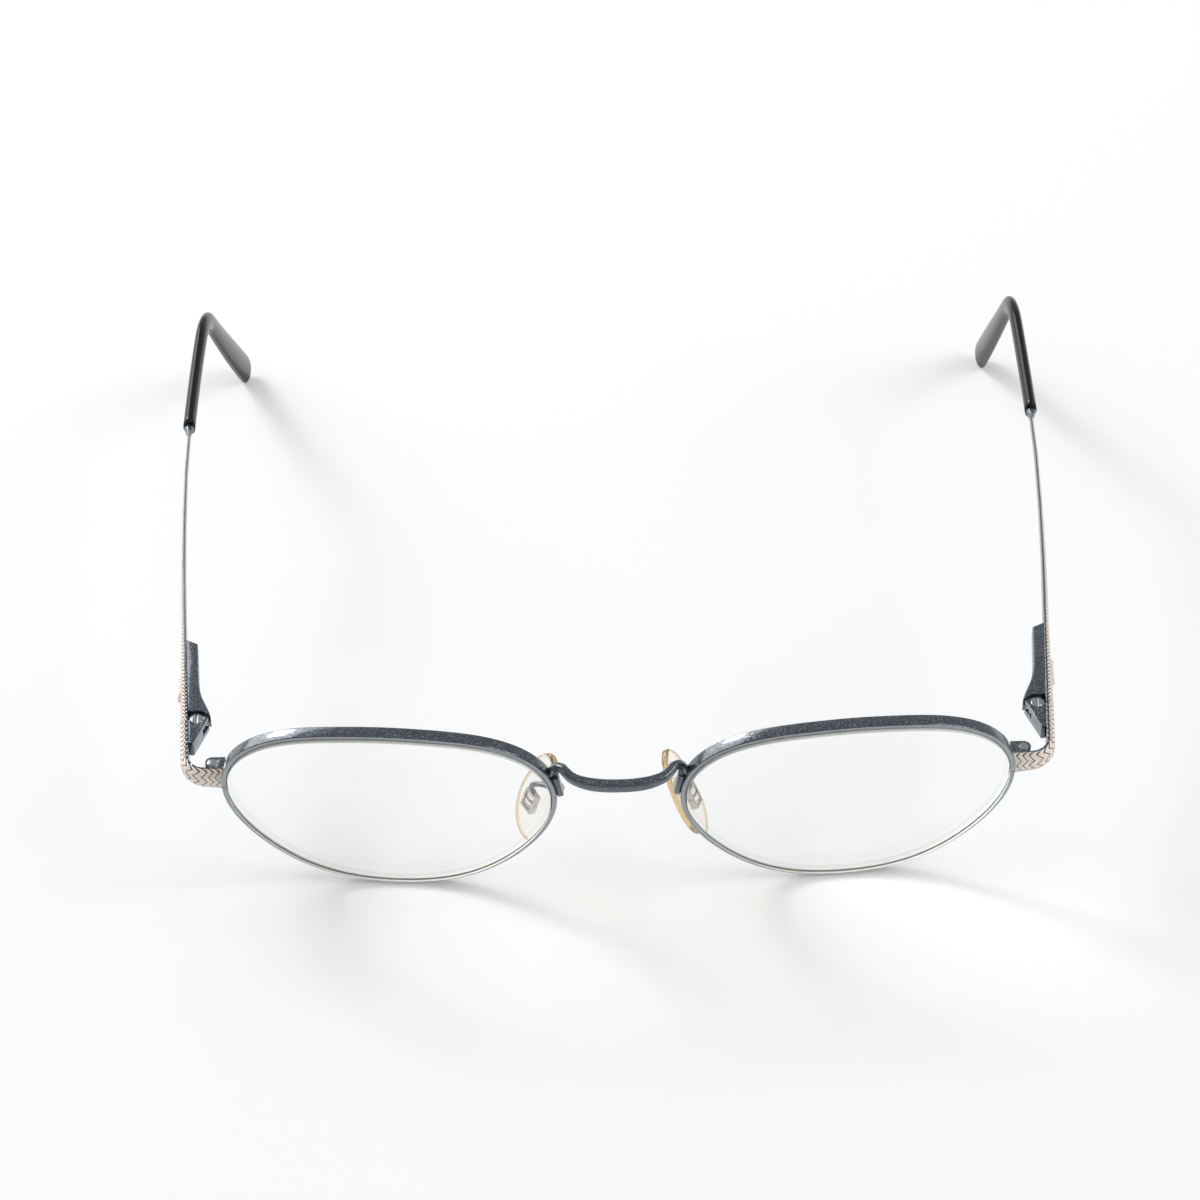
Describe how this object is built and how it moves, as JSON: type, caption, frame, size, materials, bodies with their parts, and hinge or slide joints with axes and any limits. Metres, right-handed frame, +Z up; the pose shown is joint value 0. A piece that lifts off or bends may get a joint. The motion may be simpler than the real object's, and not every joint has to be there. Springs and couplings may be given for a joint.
{
  "type": "oval wire eyeglasses with spring hinges",
  "caption": "Oval full-rim metal eyeglasses with nose pads, a bowed bridge, engraved domed temples on sprung hinges and black ear tips, standing open",
  "frame": {"origin": "bottom centre of the standing glasses", "axes": "X across the face with the wearer's left on plus, Y back along the temples, Z up"},
  "size_m": [0.1374, 0.1482, 0.0353],
  "materials": {
    "enamel": "pearl gunmetal enamel",
    "polished_enamel": "polished metal slant with enamelled flanks",
    "engraved_copper": "antique rose copper with dark zigzag grooves on the domed side, gunmetal enamel on the flat side",
    "bright_screw": "bright steel",
    "silver_box": "silver plated",
    "lens_clear": "clear with a faint yellow edge",
    "amber_pad": "translucent amber",
    "black_sleeve": "polished black acetate"
  },
  "bodies": {
    "front": {"bridge": "enamel", "closing_screws": "bright_screw", "hinge_screws": "bright_screw", "left_closing_block_lower": "enamel", "left_closing_block_upper": "enamel", "left_end_piece": "engraved_copper", "left_eyewire": "enamel", "left_hinge_block": "polished_enamel", "left_lens": "lens_clear", "left_pad_arm": "enamel", "left_pad_box": "silver_box", "pad_screws": "bright_screw", "right_closing_block_lower": "enamel", "right_closing_block_upper": "enamel", "right_end_piece": "engraved_copper", "right_eyewire": "enamel", "right_hinge_block": "polished_enamel", "right_lens": "lens_clear", "right_pad_arm": "enamel", "right_pad_box": "silver_box"},
    "left_bush": {"left_hinge_bush": "bright_screw"},
    "left_knuckle": {"left_hinge_slider": "bright_screw", "left_hinge_spring": "bright_screw"},
    "left_arm": {"left_temple": "engraved_copper", "left_tip_sleeve": "black_sleeve", "left_spring_housing": "enamel", "left_spring_stop": "bright_screw", "left_plaque": "engraved_copper"},
    "left_pad": {"left_nose_pad": "amber_pad"},
    "right_bush": {"right_hinge_bush": "bright_screw"},
    "right_knuckle": {"right_hinge_slider": "bright_screw", "right_hinge_spring": "bright_screw"},
    "right_arm": {"right_temple": "engraved_copper", "right_tip_sleeve": "black_sleeve", "right_spring_housing": "enamel", "right_spring_stop": "bright_screw", "right_plaque": "engraved_copper"},
    "right_pad": {"right_nose_pad": "amber_pad"}
  },
  "joints": [
    {"name": "left_fold", "type": "hinge", "parent": "front", "child": "left_bush", "pos_m": [0.06175, -0.0531, 0.02249], "axis": [0, -0.0958, 0.9954], "range_deg": [0, 90]},
    {"name": "left_flex", "type": "hinge", "parent": "left_bush", "child": "left_knuckle", "pos_m": [0.06175, -0.0531, 0.02249], "axis": [0, -0.0958, 0.9954], "range_deg": [-12, 0], "stiffness_Nm_per_rad": 0.12},
    {"name": "left_travel", "type": "slide", "parent": "left_knuckle", "child": "left_arm", "axis": [0.0872, 0.9916, 0.0955], "range_m": [0, 0.0005]},
    {"name": "left_pad_rock", "type": "hinge", "parent": "front", "child": "left_pad", "pos_m": [0.01077, -0.06057, 0.01476], "axis": [0.2332, 0.9622, -0.1404], "range_deg": [-7, 7]},
    {"name": "right_fold", "type": "hinge", "parent": "front", "child": "right_bush", "pos_m": [-0.06175, -0.0531, 0.02249], "axis": [0, 0.0958, -0.9954], "range_deg": [0, 80]},
    {"name": "right_flex", "type": "hinge", "parent": "right_bush", "child": "right_knuckle", "pos_m": [-0.06175, -0.0531, 0.02249], "axis": [0, 0.0958, -0.9954], "range_deg": [-12, 0], "stiffness_Nm_per_rad": 0.12},
    {"name": "right_travel", "type": "slide", "parent": "right_knuckle", "child": "right_arm", "axis": [-0.0872, 0.9916, 0.0955], "range_m": [0, 0.0005]},
    {"name": "right_pad_rock", "type": "hinge", "parent": "front", "child": "right_pad", "pos_m": [-0.01273, -0.0608, 0.01466], "axis": [-0.4344, 0.8924, 0.1222], "range_deg": [-7, 7]}
  ],
  "couplings": [
    {"joint": "left_travel", "follows": "left_flex", "m_per_rad": -0.00225},
    {"joint": "right_travel", "follows": "right_flex", "m_per_rad": -0.00225}
  ]
}
